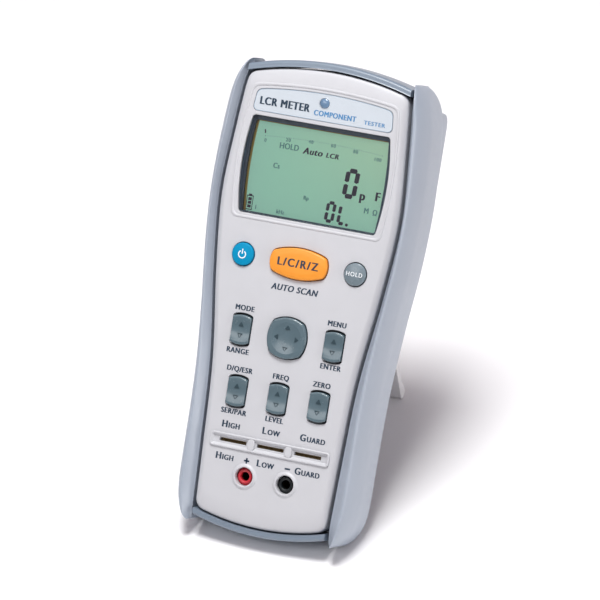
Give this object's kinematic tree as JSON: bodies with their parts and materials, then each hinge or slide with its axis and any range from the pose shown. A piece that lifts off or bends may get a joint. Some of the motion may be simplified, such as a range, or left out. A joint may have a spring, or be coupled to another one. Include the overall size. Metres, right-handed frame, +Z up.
{
  "type": "lcr meter",
  "caption": "Handheld component meter leaning on a fold-out tilt stand, with display, rocker keys, round keys, lead slots and test sockets.",
  "frame": {"origin": "centre of the footprint, on the surface that the grips and the stand's foot rest on", "axes": "+Z up, -Y towards the user in front of the face, +X to the user's right; the face leans back 33 degrees"},
  "size_m": [0.096, 0.136, 0.1817],
  "materials": {
    "face_white": "moulded plastic, fine satin grain",
    "window_clear": "clear polished acrylic window",
    "frame_navy": "dark navy moulded frame",
    "lcd_green": "reflective liquid crystal glass",
    "reflector": "white diffuser sheet",
    "label_blue": "printed film, pale blue",
    "lens_blue": "polished tinted lens",
    "key_cyan": "satin rubber-coated key",
    "key_grey": "satin key cap",
    "key_orange": "satin key cap",
    "key_teal": "glossy grey-teal key cap",
    "silicone": "moulded silicone",
    "circuit_board": "solder-masked laminate",
    "black_plastic": "moulded plastic",
    "fuse_glass": "glass tube",
    "battery_wrap": "printed metal can",
    "grip_blue_grey": "soft-touch overmould, blue-grey",
    "band_blue_grey": "soft-touch overmould, darker blue-grey",
    "case_dark": "moulded plastic, fine texture",
    "stand_white": "moulded plastic, satin",
    "steel": "plated steel",
    "socket_red": "moulded insulating sleeve, red",
    "socket_black": "moulded insulating sleeve, black",
    "brass": "nickel-washed brass"
  },
  "bodies": {
    "meter": {"battery": "battery_wrap", "battery_snap": "black_plastic", "buzzer": "black_plastic", "case_screw_1": "steel", "case_screw_2": "steel", "case_screw_3": "steel", "case_screw_4": "steel", "display_frame": "frame_navy", "display_window": "window_clear", "end_band_bottom": "band_blue_grey", "end_band_top": "band_blue_grey", "front_cover": "face_white", "hinge_block": "grip_blue_grey", "indicator_lens": "lens_blue", "input_fuse": "fuse_glass", "keypad_mat": "silicone", "label_strip": "label_blue", "lcd_glass": "lcd_green", "lcd_reflector": "reflector", "main_board": "circuit_board", "processor_chip": "black_plastic", "rear_case": "case_dark", "side_grip_left": "grip_blue_grey", "side_grip_right": "grip_blue_grey", "slot_block": "face_white", "slot_contact_guard": "brass", "slot_contact_high": "brass", "slot_contact_low": "brass", "socket_barrel_minus": "brass", "socket_barrel_plus": "brass", "socket_sleeve_minus": "socket_black", "socket_sleeve_plus": "socket_red", "stand_pin": "steel"},
    "power_key": {"power_key": "key_cyan"},
    "function_key": {"function_key": "key_orange"},
    "hold_key": {"hold_key": "key_grey"},
    "rocker_upper_left": {"rocker_upper_left": "key_teal"},
    "rocker_upper_right": {"rocker_upper_right": "key_teal"},
    "rocker_lower_left": {"rocker_lower_left": "key_teal"},
    "rocker_lower_middle": {"rocker_lower_middle": "key_teal"},
    "rocker_lower_right": {"rocker_lower_right": "key_teal"},
    "navigation_pivot": {"navigation_pivot": "silicone"},
    "navigation_pad": {"navigation_pad": "key_teal"},
    "tilt_stand": {"tilt_stand": "stand_white"},
    "battery_door": {"battery_door": "grip_blue_grey"},
    "battery_door_screw": {"battery_door_screw": "steel"}
  },
  "joints": [
    {"name": "power_key_press", "type": "slide", "parent": "meter", "child": "power_key", "axis": [0, 0.8387, -0.5446], "range_m": [0, 0.0008], "stiffness_N_per_m": 400},
    {"name": "function_key_press", "type": "slide", "parent": "meter", "child": "function_key", "axis": [0, 0.8387, -0.5446], "range_m": [0, 0.0008], "stiffness_N_per_m": 400},
    {"name": "hold_key_press", "type": "slide", "parent": "meter", "child": "hold_key", "axis": [0, 0.8387, -0.5446], "range_m": [0, 0.0008], "stiffness_N_per_m": 400},
    {"name": "rocker_upper_left_rock", "type": "hinge", "parent": "meter", "child": "rocker_upper_left", "pos_m": [-0.0215, -0.01749, 0.0796], "axis": [1, 0, 0], "range_deg": [-5, 5], "stiffness_Nm_per_rad": 0.05},
    {"name": "rocker_upper_right_rock", "type": "hinge", "parent": "meter", "child": "rocker_upper_right", "pos_m": [0.0215, -0.01749, 0.0796], "axis": [1, 0, 0], "range_deg": [-5, 5], "stiffness_Nm_per_rad": 0.05},
    {"name": "rocker_lower_left_rock", "type": "hinge", "parent": "meter", "child": "rocker_lower_left", "pos_m": [-0.019, -0.03203, 0.05721], "axis": [1, 0, 0], "range_deg": [-5, 5], "stiffness_Nm_per_rad": 0.05},
    {"name": "rocker_lower_middle_rock", "type": "hinge", "parent": "meter", "child": "rocker_lower_middle", "pos_m": [0, -0.03203, 0.05721], "axis": [1, 0, 0], "range_deg": [-5, 5], "stiffness_Nm_per_rad": 0.05},
    {"name": "rocker_lower_right_rock", "type": "hinge", "parent": "meter", "child": "rocker_lower_right", "pos_m": [0.019, -0.03203, 0.05721], "axis": [1, 0, 0], "range_deg": [-5, 5], "stiffness_Nm_per_rad": 0.05},
    {"name": "navigation_tilt_up_down", "type": "hinge", "parent": "meter", "child": "navigation_pivot", "pos_m": [0, -0.01716, 0.07938], "axis": [1, 0, 0], "range_deg": [-3, 3], "stiffness_Nm_per_rad": 0.08},
    {"name": "navigation_tilt_left_right", "type": "hinge", "parent": "navigation_pivot", "child": "navigation_pad", "pos_m": [0, -0.01716, 0.07938], "axis": [0, 0.5446, 0.8387], "range_deg": [-3, 3], "stiffness_Nm_per_rad": 0.08},
    {"name": "stand_fold", "type": "hinge", "parent": "meter", "child": "tilt_stand", "pos_m": [0, 0.02646, 0.09696], "axis": [1, 0, 0], "range_deg": [-49.7, 0]},
    {"name": "battery_door_lift", "type": "slide", "parent": "meter", "child": "battery_door", "axis": [0, 0.8387, -0.5446], "range_m": [0, 0.03]},
    {"name": "battery_door_screw_turn", "type": "hinge", "parent": "battery_door", "child": "battery_door_screw", "pos_m": [0.0335, 0.06055, 0.13385], "axis": [0, 0.8387, -0.5446], "range_deg": [0, 90]}
  ]
}
